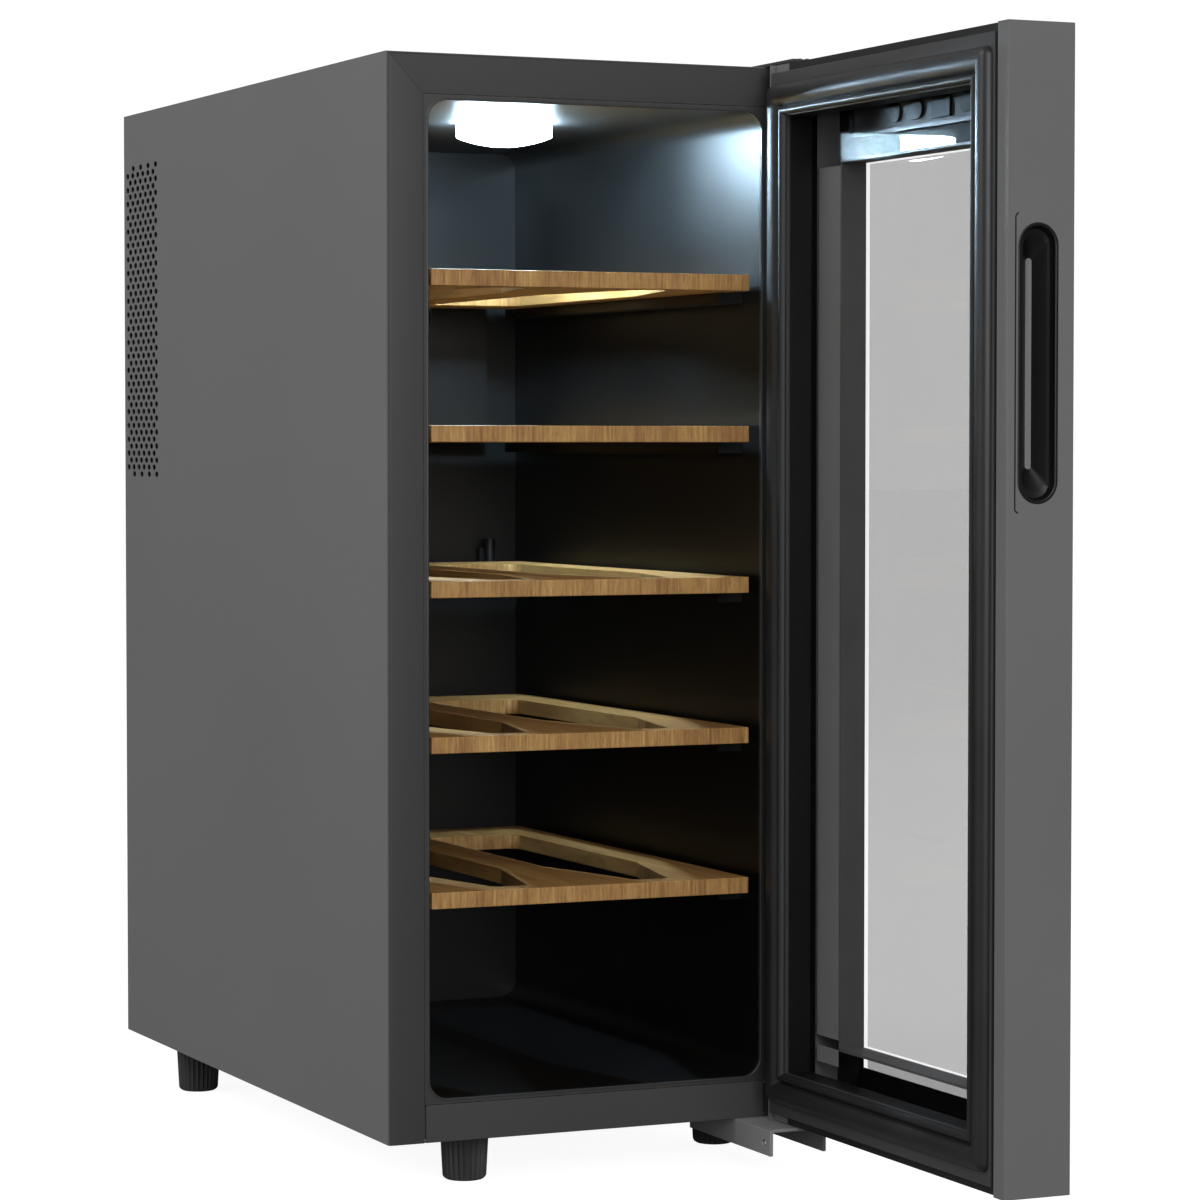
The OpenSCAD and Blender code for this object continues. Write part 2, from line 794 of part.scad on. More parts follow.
// screws through the rails, their heads on the inner side
module door_screws() {
  color(bright_metal) on_door() for (x = rail_screw_x) {
    translate([x, rail_screw_y, door_z1 - 2]) {
      translate([0, 0, -1.5]) cylinder(h = 1.5, r = 3.4);
      cylinder(h = 1.8, r = 1.9);
    }
    translate([x, rail_screw_y, door_z0 + 0.2]) {
      cylinder(h = 1.8 + eps, r = 1.9);
      translate([0, 0, 1.8]) cylinder(h = 1.5, r = 3.4);
    }
  }
}

module outer_glass() {
  color("#2a2d30") on_door() block(door_x0 + profile_t + 0.2, door_x1 - profile_t - 0.2, door_y0, glass_y1,
    door_z0 + 0.2, door_z1 - 0.2);
}

// upright rectangle on the door; a negative edge makes it smaller
module upright(x0, x1, z0, z1, edge = 0) {
  translate([x0 - edge, z0 - edge]) square([x1 - x0 + 2 * edge, z1 - z0 + 2 * edge]);
}

module glass_spacer() {
  color(frame_grey) on_door() along_y(glass_y1, inner_glass_y) difference() {
    upright(window_x0, window_x1, window_z0, window_z1, spacer_w);
    upright(window_x0, window_x1, window_z0, window_z1);
  }
}

module inner_glass() {
  color("#8f979c") on_door() along_y(inner_glass_y, inner_glass_y + glass_t) recess_outline(wall_t);
}

// the opening in the liner, inside the seal
module recess_outline(edge = 0) {
  upright(seal_x0 + seal_w, seal_x1 - seal_w, seal_z0 + seal_w, seal_z1 - seal_w, edge);
}

// frame that holds the control board on the outer pane
module control_housing() {
  color(plastic_black) on_door() along_y(glass_y1, glass_y1 + 4) difference() {
    upright(control_x0, control_x1, control_z0, control_z1);
    upright(control_x0, control_x1, control_z0, control_z1, -frame_w);
  }
}

module display_board() {
  y = glass_y1 + board_t;
  color(board_green) on_door() {
    along_y(glass_y1, y) upright(control_x0, control_x1, control_z0, control_z1, -frame_w);
    along_y(y - eps, y + pad_t) for (x = key_x) translate([x - key_w / 2, key_z - key_h / 2])
      rounded_outline(key_w, key_h, key_h / 2 - 0.2);
    along_y(y - eps, y + pad_t)
      upright(display_x0, display_x1, key_z - display_h / 2, key_z + display_h / 2);
  }
}

// plate under the seal, with a wall around the opening that ends on the inner pane
module door_liner() {
  color(plastic_black) on_door() {
    along_y(door_y1 - liner_plate, door_y1) difference() {
      upright(1, door_x1 - profile_t, door_z0 + liner_step, door_z1 - liner_step);
      recess_outline();
    }
    along_y(inner_glass_y + glass_t, door_y1 - liner_plate + eps) difference() {
      recess_outline(wall_t);
      recess_outline();
    }
  }
}

module seal_ring(x0, x1, z0, z1, w) {
  difference() {
    translate([x0, z0]) square([x1 - x0, z1 - z0]);
    translate([x0 + w, z0 + w]) square([x1 - x0 - 2 * w, z1 - z0 - 2 * w]);
  }
}

module door_gasket() {
  in = 3.5;
  color("#141416") on_door() {
    along_y(door_y1, door_y1 + 4) seal_ring(seal_x0, seal_x1, seal_z0, seal_z1, seal_w);
    along_y(door_y1 + 4 - eps, door_y1 + 5.4)
      seal_ring(seal_x0 + in, seal_x1 - in, seal_z0 + in, seal_z1 - in, seal_w - 2 * in);
  }
}

// ---- which piece to draw -------------------------------------------------------------------

left_side_panel();
right_side_panel();
top_panel();
bottom_pan();
bottom_trim_rail();
rear_bulkhead();
back_panel();
inner_liner();
insulation_foam();
left_shelf_rails();
right_shelf_rails();
lamp_base();
lamp_board();
lamp_lens();
cold_fan_cover();
cold_fan_frame();
cold_fan_rotor();
cold_sink();
peltier_module();
hot_sink();
hot_fan_frame();
hot_fan_rotor();
control_board();
power_supply();
power_inlet();
temperature_sensor();
foot_nuts();
foot_front_left();
foot_front_right();
foot_rear_left();
foot_rear_right();
lower_hinge_bracket();
lower_hinge_pin();
top_hinge_bracket();
top_hinge_pin();
hinge_screws();
shell_screws();
fan_screws();
shelf_1();
shelf_2();
shelf_3();
shelf_4();
shelf_5();
door_handle_profile();
door_hinge_profile();
door_top_rail();
door_bottom_rail();
handle_insert();
outer_glass();
glass_spacer();
inner_glass();
control_housing();
display_board();
door_liner();
door_gasket();
lower_hinge_bush();
upper_hinge_bush();
door_screws();
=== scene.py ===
import math

import bmesh
import bpy
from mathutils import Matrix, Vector
from mathutils.geometry import delaunay_2d_cdt


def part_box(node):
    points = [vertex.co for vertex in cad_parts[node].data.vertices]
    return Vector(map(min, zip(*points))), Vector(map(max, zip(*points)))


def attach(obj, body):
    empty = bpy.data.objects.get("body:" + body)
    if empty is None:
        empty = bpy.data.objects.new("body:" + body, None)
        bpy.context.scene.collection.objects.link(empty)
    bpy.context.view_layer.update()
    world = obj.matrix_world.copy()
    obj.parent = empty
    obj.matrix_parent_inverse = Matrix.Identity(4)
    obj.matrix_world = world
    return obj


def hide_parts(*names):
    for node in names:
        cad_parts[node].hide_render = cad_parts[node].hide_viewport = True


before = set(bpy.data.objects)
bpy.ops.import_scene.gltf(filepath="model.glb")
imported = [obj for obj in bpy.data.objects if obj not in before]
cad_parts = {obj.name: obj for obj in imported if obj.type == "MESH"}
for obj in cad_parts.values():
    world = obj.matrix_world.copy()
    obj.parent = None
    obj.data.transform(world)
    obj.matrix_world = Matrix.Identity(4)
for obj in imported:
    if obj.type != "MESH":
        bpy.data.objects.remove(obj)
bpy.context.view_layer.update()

MM = 0.001
SHARP = math.radians(35)

# ---- measures, in millimetres from the cabinet's front left bottom corner ------------------

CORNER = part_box("left_side_panel")[0]
SIZE = (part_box("right_side_panel")[1] - CORNER) / MM
W, D, H = SIZE.x, SIZE.y, SIZE.z
SHEET = 0.6
BEND = 2.2
BEND_STEPS = 6
FLANGE = 21.0
FLANGE_TOP = 22.4
CAVITY = (24.0, 228.0, 23.8, 573.4)
CAVITY_R = 11.0
MITRE_GAP = 0.12
VENT_ROWS, VENT_PITCH, VENT_Z = 45, 4.5, 564.0
VENT_Y, VENT_STEP, VENT_END_STEP = 407.0, 10.6, 15.5
VENT_R, VENT_WIDE = 1.9, 1.75
TOP_SCREW_Y = (14, 30)
LENS = (126.0, 134.0, 560.0)
LENS_R = 29.0

PIVOT = (242.5, -21.5)
DOOR_X0, DOOR_X1 = -13.0, 252.0
DOOR_Y0, DOOR_Y1 = -45.0, -6.0
DOOR_Z0, DOOR_Z1 = 0.5, 598.5
GLASS_Y1 = -41.0
INNER_GLASS_Y = -26.0
INNER_GLASS_T = 4.0
PAD_Y = GLASS_Y1 + 1.85
LINER_STEP_Y = DOOR_Y1 - 1.5
WINDOW = (37.0, 202.5, 35.2, 541.7)
SPACER_Z0 = 46.5
SPACER_EDGE = 204.6
RECESS = (21.0, 231.0, 30.0, 569.0)
SEAL = (3.0, 249.0, 12.0, 587.0)
HANDLE = (-23.8, 425.9)
HANDLE_LEN, HANDLE_W = 142.4, 23.4
FLOOR_LEN, FLOOR_W = 107.0, 3.5
FEET = {
    "foot_front_left": (57, 30),
    "foot_front_right": (235, 75),
    "foot_rear_left": (17.5, 380),
    "foot_rear_right": (234.5, 380),
}
FOOT_H = 27.0


def at(x, y, z):
    """A point of the cabinet, in metres in the row frame."""
    return CORNER + Vector((x, y, z)) * MM


def on_door(x, y, z):
    """A point of the door, given as on the closed door, where it is with the door open."""
    return at(PIVOT[0] - (y - PIVOT[1]), PIVOT[1] + (x - PIVOT[0]), z)


# ---- camera --------------------------------------------------------------------------------

cam_data = bpy.data.cameras.new("camera")
cam = bpy.data.objects.new("camera", cam_data)
bpy.context.scene.collection.objects.link(cam)
cam.location = at(-772.69, -1983.68, 384.07)
cam.rotation_euler = (math.radians(90 - 2.23), 0, math.radians(-24.4))
cam_data.sensor_width = 36
cam_data.lens = 116.89
cam_data.shift_y = -0.0018
cam_data.clip_start = 0.05
cam_data.clip_end = 60
bpy.context.scene.camera = cam

# ---- materials -----------------------------------------------------------------------------


class Graph:
    """A short way to build a node tree."""

    def __init__(self, name):
        self.mat = bpy.data.materials.new(name)
        self.mat.use_nodes = True
        self.nodes = self.mat.node_tree.nodes
        self.links = self.mat.node_tree.links
        self.shader = self.nodes["Principled BSDF"]
        self.coords = self.nodes.new("ShaderNodeTexCoord").outputs["Object"]

    def link(self, a, b):
        self.links.new(a, b)

    def stretched(self, scale):
        n = self.nodes.new("ShaderNodeMapping")
        n.inputs["Scale"].default_value = scale
        self.link(self.coords, n.inputs["Vector"])
        return n.outputs["Vector"]

    def noise(self, scale, detail=2.0, vector=None, rough=0.5, distort=0.0):
        n = self.nodes.new("ShaderNodeTexNoise")
        n.inputs["Scale"].default_value = scale
        n.inputs["Detail"].default_value = detail
        n.inputs["Roughness"].default_value = rough
        n.inputs["Distortion"].default_value = distort
        self.link(vector or self.coords, n.inputs["Vector"])
        return n.outputs["Fac"]

    def remap(self, value, a, b, c, d):
        n = self.nodes.new("ShaderNodeMapRange")
        for socket, v in zip(("From Min", "From Max", "To Min", "To Max"), (a, b, c, d)):
            n.inputs[socket].default_value = v
        self.link(value, n.inputs["Value"])
        return n.outputs["Result"]

    def ramp(self, value, stops):
        n = self.nodes.new("ShaderNodeValToRGB")
        e = n.color_ramp.elements
        while len(e) < len(stops):
            e.new(0.5)
        for item, (place, color) in zip(e, stops):
            item.position = place
            item.color = (*color, 1)
        self.link(value, n.inputs["Fac"])
        return n.outputs["Color"]

    def mix(self, factor, a, b):
        n = self.nodes.new("ShaderNodeMix")
        n.data_type = "RGBA"
        self.link(factor, n.inputs["Factor"])
        for socket, v in ((n.inputs["A"], a), (n.inputs["B"], b)):
            if isinstance(v, tuple):
                socket.default_value = (*v, 1)
            else:
                self.link(v, socket)
        return n.outputs["Result"]

    def math(self, kind, a, b):
        n = self.nodes.new("ShaderNodeMath")
        n.operation = kind
        for socket, v in zip(n.inputs, (a, b)):
            if isinstance(v, (int, float)):
                socket.default_value = v
            else:
                self.link(v, socket)
        return n.outputs["Value"]

    def axis(self, name):
        n = self.nodes.new("ShaderNodeSeparateXYZ")
        self.link(self.coords, n.inputs["Vector"])
        return n.outputs[name]

    def bump(self, height, strength, distance):
        n = self.nodes.new("ShaderNodeBump")
        n.inputs["Strength"].default_value = strength
        n.inputs["Distance"].default_value = distance
        self.link(height, n.inputs["Height"])
        self.link(n.outputs["Normal"], self.shader.inputs["Normal"])

    def color(self, value):
        self.link(value, self.shader.inputs["Base Color"])

    def rough(self, value):
        self.link(value, self.shader.inputs["Roughness"])


def tinted(color, k):
    return tuple(c * k for c in color)


def surface(name, color, rough=0.5, metal=0.0, spread=0.08, cloud=11.0, grain=1400.0, bump=0.05,
            level=0.5, stretch=(1, 1, 1)):
    """Paint, plastic or metal with cloudy shade changes and a fine grain."""
    g = Graph(name)
    g.shader.inputs["Metallic"].default_value = metal
    g.shader.inputs["Specular IOR Level"].default_value = level
    clouds = g.noise(cloud, 4.0)
    vector = g.stretched(stretch)
    fine = g.noise(grain, 2.0, vector)
    shade = g.math("ADD", g.math("MULTIPLY", clouds, 0.7), g.math("MULTIPLY", fine, 0.3))
    g.color(g.ramp(shade, [(0.3, tinted(color, 1 - spread)), (0.7, tinted(color, 1 + spread))]))
    g.rough(g.remap(clouds, 0.3, 0.7, rough - 0.04, rough + 0.04))
    g.bump(fine, bump, 0.0002)
    return g


def steel_paint():
    """Grey paint with the fine texture of sprayed steel, darker on the front flanges."""
    g = Graph("painted_steel")
    clouds = g.noise(5.0, 3.0)
    fine = g.noise(2600.0, 3.0)
    shade = g.math("ADD", g.math("MULTIPLY", clouds, 0.6), g.math("MULTIPLY", fine, 0.4))
    side = g.ramp(shade, [(0.3, tinted(STEEL, 0.96)), (0.7, tinted(STEEL, 1.04))])
    front = g.ramp(shade, [(0.3, tinted(STEEL_FRONT, 0.95)), (0.7, tinted(STEEL_FRONT, 1.05))])
    edge = CORNER.y
    g.color(g.mix(g.remap(g.axis("Y"), edge + 0.0004, edge + BEND * MM, 0.0, 1.0), front, side))
    g.rough(g.remap(clouds, 0.3, 0.7, 0.46, 0.54))
    g.bump(fine, 0.12, 0.0001)
    return g


def wood():
    """Pale wood with grain that runs from front to back, so it stands upright on the front edge."""
    g = Graph("shelf_wood")
    fibres = g.noise(1.0, 5.0, g.stretched((620, 9, 40)), 0.62, 0.25)
    broad = g.noise(1.0, 3.0, g.stretched((46, 4, 10)), 0.5, 0.6)
    pores = g.noise(1.0, 2.0, g.stretched((1900, 45, 300)))
    shade = g.math("ADD", g.math("MULTIPLY", fibres, 0.62), g.math("MULTIPLY", broad, 0.38))
    base = g.ramp(shade, [
        (0.32, WOOD[0]),
        (0.45, WOOD[1]),
        (0.56, WOOD[2]),
        (0.7, WOOD[3]),
    ])
    g.color(g.mix(g.remap(pores, 0.55, 0.72, 0.0, 0.35), base, tinted(WOOD[0], 0.6)))
    g.rough(g.remap(fibres, 0.3, 0.7, 0.5, 0.62))
    g.bump(shade, 0.15, 0.0004)
    return g


def clear_shader(g, color):
    """A Transparent shader of that colour, in place of the solid one."""
    n = g.nodes.new("ShaderNodeBsdfTransparent")
    g.link(color, n.inputs["Color"])
    g.nodes.remove(g.shader)
    return n.outputs["BSDF"]


def glass(name, tint, gloss, least):
    """A flat pane that doesn't bend what is seen through it. Its reflections start at least and
    grow by gloss towards a slant."""
    g = Graph(name)
    haze = g.noise(3.0, 3.0)
    clear = clear_shader(g, g.ramp(haze, [(0.3, tinted(tint, 0.992)), (0.7, tint)]))
    shine = g.nodes.new("ShaderNodeBsdfGlossy")
    g.link(g.remap(haze, 0.3, 0.7, 0.0, 0.012), shine.inputs["Roughness"])
    slant = g.nodes.new("ShaderNodeLayerWeight").outputs["Facing"]
    part = g.math("ADD", g.math("MULTIPLY", g.math("POWER", slant, 5.0), gloss), least)
    mix = g.nodes.new("ShaderNodeMixShader")
    g.link(part, mix.inputs["Fac"])
    g.link(clear, mix.inputs[1])
    g.link(shine.outputs["BSDF"], mix.inputs[2])
    g.link(mix.outputs["Shader"], g.nodes["Material Output"].inputs["Surface"])
    return g


def film(name, tint):
    """A thin layer that only darkens what is seen through it."""
    g = Graph(name)
    cloud = g.noise(3.0, 2.0)
    clear = clear_shader(g, g.ramp(cloud, [(0.3, tinted(tint, 0.99)), (0.7, tint)]))
    g.link(clear, g.nodes["Material Output"].inputs["Surface"])
    return g


def two_tone(g, axis, start, end, other):
    """Changes a surface's colour to other as its X or Y goes from start to end."""
    base = g.shader.inputs["Base Color"].links[0].from_socket
    g.color(g.mix(g.remap(g.axis(axis), start, end, 0.0, 1.0), base, other))
    return g


def lamp_glow():
    """Milky lens, brightest in its middle."""
    g = Graph("lamp_diffuser")
    centre = at(*LENS)
    dx = g.math("SUBTRACT", g.axis("X"), centre.x)
    dy = g.math("SUBTRACT", g.axis("Y"), centre.y)
    r = g.math("SQRT", g.math("ADD", g.math("MULTIPLY", dx, dx), g.math("MULTIPLY", dy, dy)), 0.0)
    power = g.remap(r, 0.0, LENS_R * MM, LAMP * 1.1, LAMP * 0.85)
    g.link(power, g.shader.inputs["Emission Strength"])
    g.shader.inputs["Emission Color"].default_value = (0.56, 0.80, 1.0, 1)
    haze = g.noise(60.0, 3.0)
    g.color(g.ramp(haze, [(0.3, (0.86, 0.89, 0.92)), (0.7, (0.93, 0.95, 0.97))]))
    g.rough(g.remap(haze, 0.3, 0.7, 0.3, 0.4))
    return g


STEEL = (0.150, 0.150, 0.150)
STEEL_FRONT = (0.031, 0.031, 0.0315)
RIM_GREY = (0.038, 0.038, 0.0385)
WOOD = [(0.21, 0.090, 0.021), (0.345, 0.172, 0.049), (0.48, 0.266, 0.084), (0.625, 0.385, 0.140)]
LAMP = 290.0

paint = steel_paint().mat
shelf_wood = wood().mat
frame_paint = surface("painted_steel_dark", tinted(STEEL_FRONT, 1.6), 0.5).mat
bracket_paint = surface("painted_steel_bracket", (0.30, 0.30, 0.30), 0.45, cloud=20).mat
galvanised = surface("galvanised_steel", (0.42, 0.43, 0.44), 0.42, 0.9, 0.16, 60, 900, 0.1).mat
# Black paint of the back panel; the top hinge bracket and the rail's end folds also take it as
# painted shade.
black_paint_and_shade = surface("painted_steel_black", (0.028, 0.028, 0.029), 0.5, cloud=8, bump=0.1).mat
bright = surface("bright_steel", (0.58, 0.59, 0.6), 0.22, 1.0, 0.06, 90, 2400, 0.03).mat
alloy = surface("grey_aluminium", (0.150, 0.150, 0.150), 0.5, 0.0, 0.04, 6, 2200, 0.06,
                level=0.35).mat
cavity_black = (0.0015, 0.0015, 0.0017)
cavity = surface("cavity_plastic", cavity_black, 0.42, 0, 0.2, 9, 1200, 0.04).mat
liner_black = two_tone(
    surface("liner_rim_plastic", RIM_GREY, 0.42, 0, 0.05, 9, 1200, 0.04),
    "Y", CORNER.y + 0.0008, CORNER.y + 0.0014, cavity_black).mat
# The door liner's walls past the recess step are painted near-black (0.003): painted shade inside
# the recess.
recess_x = on_door(0, LINER_STEP_Y, 0).x
liner_plastic_recess_shade = two_tone(
    surface("liner_plastic_recess_shade", (0.052, 0.052, 0.053), 0.42, 0, 0.1, 9, 1500, 0.05, level=0.35),
    "X", recess_x, recess_x + 0.001, (0.003, 0.003, 0.003)).mat
plastic = surface("black_plastic", (0.007, 0.007, 0.0075), 0.42, 0, 0.15, 14, 1500, 0.08,
                  level=0.4).mat
lip_plastic = surface("lip_plastic", RIM_GREY, 0.3, 0, 0.1, 9, 1200, 0.03).mat
rubber = surface("rubber", (0.013, 0.013, 0.0135), 0.42, 0, 0.15, 25, 1200, 0.06).mat
foot_rubber = surface("foot_rubber", (0.050, 0.050, 0.050), 0.5, 0, 0.2, 40, 1500, 0.1).mat
white_plastic = surface("white_plastic", (0.72, 0.72, 0.70), 0.4, 0, 0.03, 20, 1500, 0.03).mat
foam = surface("foam", (0.78, 0.70, 0.50), 0.9, 0, 0.1, 80, 700, 0.5).mat
ceramic = surface("ceramic", (0.80, 0.80, 0.78), 0.35, 0, 0.04, 40, 1500, 0.04).mat
sink_metal = surface("aluminium", (0.62, 0.63, 0.64), 0.34, 1.0, 0.08, 50, 900, 0.05,
                     stretch=(1, 1, 0.05)).mat
board = surface("circuit_board", (0.012, 0.080, 0.035), 0.35, 0, 0.25, 160, 700, 0.15).mat
spacer_metal = surface("spacer_metal", (0.085, 0.085, 0.086), 0.45, 0.0, 0.1, 60, 1500, 0.06).mat
rotor_plastic = surface("rotor_plastic", (0.010, 0.010, 0.011), 0.38, 0, 0.15, 40, 1200, 0.05).mat
print_black = surface("window_print", (0.004, 0.004, 0.0045), 0.5, 0, 0.1, 8, 1500, 0.0,
                      level=0.05).mat
band_grey = surface("edge_band", (0.19, 0.19, 0.19), 0.4, 0, 0.06, 8, 1500, 0.02).mat
pad_x = on_door(0, PAD_Y, 0).x
control_grey = two_tone(
    surface("control_strip", (0.004, 0.004, 0.004), 0.45, 0, 0.08, 30, 1500, 0.04, level=0.1),
    "X", pad_x, pad_x + 0.0001, (0.042, 0.042, 0.042)).mat
strip_grey = surface("handle_strip", (0.20, 0.20, 0.20), 0.4, 0, 0.06, 20, 1500, 0.04).mat
recess_black = surface("recess_plastic", (0.0035, 0.0035, 0.0037), 0.38, 0, 0.15, 14, 1500, 0.05,
                       level=0.3).mat
clear_glass = glass("clear_glass", (0.99, 0.99, 0.99), 0.05, 0.0004).mat
pane_glass = glass("pane_glass", (0.99, 0.99, 0.99), 0.8, 0.03).mat
window_tint = film("window_tint", (0.735, 0.735, 0.735)).mat
lower_tint = film("lower_tint", (0.60, 0.60, 0.60)).mat
lens = lamp_glow().mat

NODE_MATERIALS = {
    paint: ["left_side_panel", "right_side_panel", "top_panel"],
    frame_paint: ["bottom_trim_rail"],
    bracket_paint: ["lower_hinge_bracket"],
    galvanised: ["bottom_pan", "rear_bulkhead"],
    # The top hinge bracket takes the black paint so it sinks into the dark under the top: painted
    # shade.
    black_paint_and_shade: ["back_panel", "top_hinge_bracket"],
    bright: ["foot_nuts", "lower_hinge_pin", "top_hinge_pin", "hinge_screws", "shell_screws",
             "fan_screws", "door_screws"],
    alloy: ["door_handle_profile", "door_hinge_profile"],
    liner_black: ["inner_liner"],
    cavity: ["left_shelf_rails", "right_shelf_rails", "cold_fan_cover"],
    liner_plastic_recess_shade: ["door_liner"],
    plastic: ["cold_fan_frame", "hot_fan_frame", "power_inlet", "door_top_rail",
              "door_bottom_rail", "handle_insert", "control_housing", "temperature_sensor"],
    rubber: ["door_gasket"],
    foot_rubber: list(FEET),
    white_plastic: ["lamp_base", "lower_hinge_bush", "upper_hinge_bush"],
    foam: ["insulation_foam"],
    ceramic: ["peltier_module"],
    sink_metal: ["cold_sink", "hot_sink"],
    board: ["lamp_board", "control_board", "power_supply"],
    control_grey: ["display_board"],
    spacer_metal: ["glass_spacer"],
    rotor_plastic: ["cold_fan_rotor", "hot_fan_rotor"],
    shelf_wood: [f"shelf_{i}" for i in range(1, 6)],
    clear_glass: ["inner_glass"],
    pane_glass: ["outer_glass"],
    lens: ["lamp_lens"],
}
for mat, names in NODE_MATERIALS.items():
    for name in names:
        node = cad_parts[name]
        node.data.materials.clear()
        node.data.materials.append(mat)
left_out = set(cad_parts) - {n for names in NODE_MATERIALS.values() for n in names}
assert not left_out, left_out

# ---- carried-over CAD nodes ----------------------------------------------------------------


def soften(name, width, segments=2):
    """Rounds the hard edges of a CAD node by a fraction of a millimetre."""
    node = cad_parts[name]
    weld = node.modifiers.new("weld", "WELD")
    weld.merge_threshold = 0.00001
    bevel = node.modifiers.new("bevel", "BEVEL")
    bevel.width = width * MM
    bevel.segments = segments
    bevel.limit_method = "ANGLE"
    bevel.angle_limit = math.radians(50)
    bevel.harden_normals = True


for shelf in range(1, 6):
    soften(f"shelf_{shelf}", 0.5)
for name in ("door_handle_profile", "door_liner"):
    soften(name, 0.35)
soften("lower_hinge_bracket", 0.5)
soften("top_hinge_bracket", 0.5)
soften("bottom_trim_rail", 0.3)
soften("display_board", 0.25)

# ---- making pieces -------------------------------------------------------------------------


def piece(name, verts, faces, mats, body, stands_for=(), marks=None):
    """A mesh object that rides on a body. marks gives each face its material's number."""
    mesh = bpy.data.meshes.new(name)
    mesh.from_pydata([tuple(v) for v in verts], [], faces)
    for m in mats:
        mesh.materials.append(m)
    if marks:
        for poly, mark in zip(mesh.polygons, marks):
            poly.material_index = mark
    mesh.validate()
    mesh.shade_smooth()
    mesh.set_sharp_from_angle(angle=SHARP)
    obj = bpy.data.objects.new(name, mesh)
    bpy.context.scene.collection.objects.link(obj)
    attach(obj, body)
    if stands_for:
        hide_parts(*stands_for)
    return obj


def loops_to_faces(count, rows, closed_rows=False):
    """Quads between rows of points, each row a closed loop of count points."""
    faces = []
    for r in range(rows if closed_rows else rows - 1):
        a, b = r * count, ((r + 1) % rows) * count
        for i in range(count):
            j = (i + 1) % count
            faces.append((a + i, a + j, b + j, b + i))
    return faces


# ---- steel shell with bent front edges -----------------------------------------------------


def circle_points(cx, cy, r, n, wide=1.0):
    """Points round a circle, or round an oval that is wider by the factor wide."""
    turns = [2 * math.pi * i / n for i in range(n)]
    return [(cx + wide * r * math.cos(a), cy + r * math.sin(a)) for a in turns]


def plate(outline, holes):
    """Triangles of a flat outline with holes: (points, triangles, border loops)."""
    points, loops = [], []
    for loop in [outline] + holes:
        start = len(points)
        points += loop
        loops.append(list(range(start, start + len(loop))))
    out = delaunay_2d_cdt([Vector(p) for p in points], [], loops, 2, 1e-6)
    assert len(out[0]) == len(points)
    order = {}
    for new, olds in enumerate(out[3]):
        for old in olds:
            order[old] = new
    return out[0], out[2], [[order[i] for i in loop] for loop in loops]


def vent_holes():
    """Rows of six oval holes, every other row half a step further back, four in the end rows."""
    holes = []
    for row in range(VENT_ROWS):
        last = row in (0, VENT_ROWS - 1)
        count, step = (4, VENT_END_STEP) if last else (6, VENT_STEP)
        start = VENT_Y if last else VENT_Y + (row % 2) * VENT_STEP / 2
        z = VENT_Z - row * VENT_PITCH
        holes += [circle_points(start + i * step, z, VENT_R, 14, VENT_WIDE) for i in range(count)]
    return holes


def mitre(offset):
    """How far from one panel's edge the other panel's flange begins."""
    if offset <= BEND:
        return offset
    return BEND + (offset - BEND) * (FLANGE_TOP - BEND) / (FLANGE - BEND)


def bend_profile(depth, flange):
    """Outer and inner points of a sheet that turns a corner: (across, back)."""
    outer, inner = [(0.0, depth)], [(SHEET, depth)]
    for i in range(BEND_STEPS + 1):
        a = math.radians(90 * i / BEND_STEPS)
        outer.append((BEND - BEND * math.cos(a), BEND - BEND * math.sin(a)))
        r = BEND - SHEET
        inner.append((BEND - r * math.cos(a), BEND - r * math.sin(a)))
    outer.append((flange, 0.0))
    inner.append((flange, SHEET))
    return outer, inner


def sheet_panel(place, ends, holes, far, flange):
    """A bent sheet. place maps (across, back, along) to a point, ends(across) gives the two ends
    along the bend, and far is the sheet's back edge. The wall has the holes, as (back, along)."""
    low, high = ends(0.0)
    outline = [(BEND, low), (far, low), (far, high), (BEND, high)]
    points, triangles, loops = plate(outline, holes)
    verts, faces = [], []
    n = len(points)
    for across in (0.0, SHEET):
        verts += [place(across, p.x, p.y) for p in points]
    faces += [tuple(t) for t in triangles]
    faces += [tuple(n + i for i in reversed(t)) for t in triangles]
    for k, loop in enumerate(loops):
        for i, a in enumerate(loop):
            b = loop[(i + 1) % len(loop)]
            if k == 0 and i == len(loop) - 1:
                continue
            faces.append((a, a + n, b + n, b))
    outer, inner = bend_profile(far, flange)
    outer, inner = outer[1:], inner[1:]
    base = len(verts)
    for (ax, ay), (bx, by) in zip(outer, inner):
        for across, back in ((ax, ay), (bx, by)):
            z0, z1 = ends(ax)
            verts += [place(across, back, z0), place(across, back, z1)]
    count = len(outer)
    for i in range(count - 1):
        a, b = base + 4 * i, base + 4 * (i + 1)
        faces += [(a, a + 1, b + 1, b), (a + 2, b + 2, b + 3, a + 3)]
        faces += [(a, b, b + 2, a + 2), (a + 1, a + 3, b + 3, b + 1)]
    e = base + 4 * (count - 1)
    faces.append((e, e + 1, e + 3, e + 2))
    return verts, faces


def joined(obj, gap=0.000002):
    """Merges the points that two parts of a mesh share, and makes the faces agree."""
    bm = bmesh.new()
    bm.from_mesh(obj.data)
    bmesh.ops.remove_doubles(bm, verts=bm.verts, dist=gap)
    bmesh.ops.recalc_face_normals(bm, faces=bm.faces)
    bm.to_mesh(obj.data)
    bm.free()
    obj.data.shade_smooth()
    obj.data.set_sharp_from_angle(angle=SHARP)


def side_ends(across):
    """Where a side sheet begins and ends, from bottom to top."""
    return 0.0, H - mitre(across) - (MITRE_GAP if across else 0.0)


def inverse_mitre(offset):
    """The same the other way round, for the top panel."""
    if offset <= BEND:
        return offset
    return BEND + (offset - BEND) * (FLANGE - BEND) / (FLANGE_TOP - BEND)


def top_ends(across):
    """Where the top sheet begins and ends, from left to right."""
    inset = inverse_mitre(across) + SHEET * 0.1
    return inset, W - inset


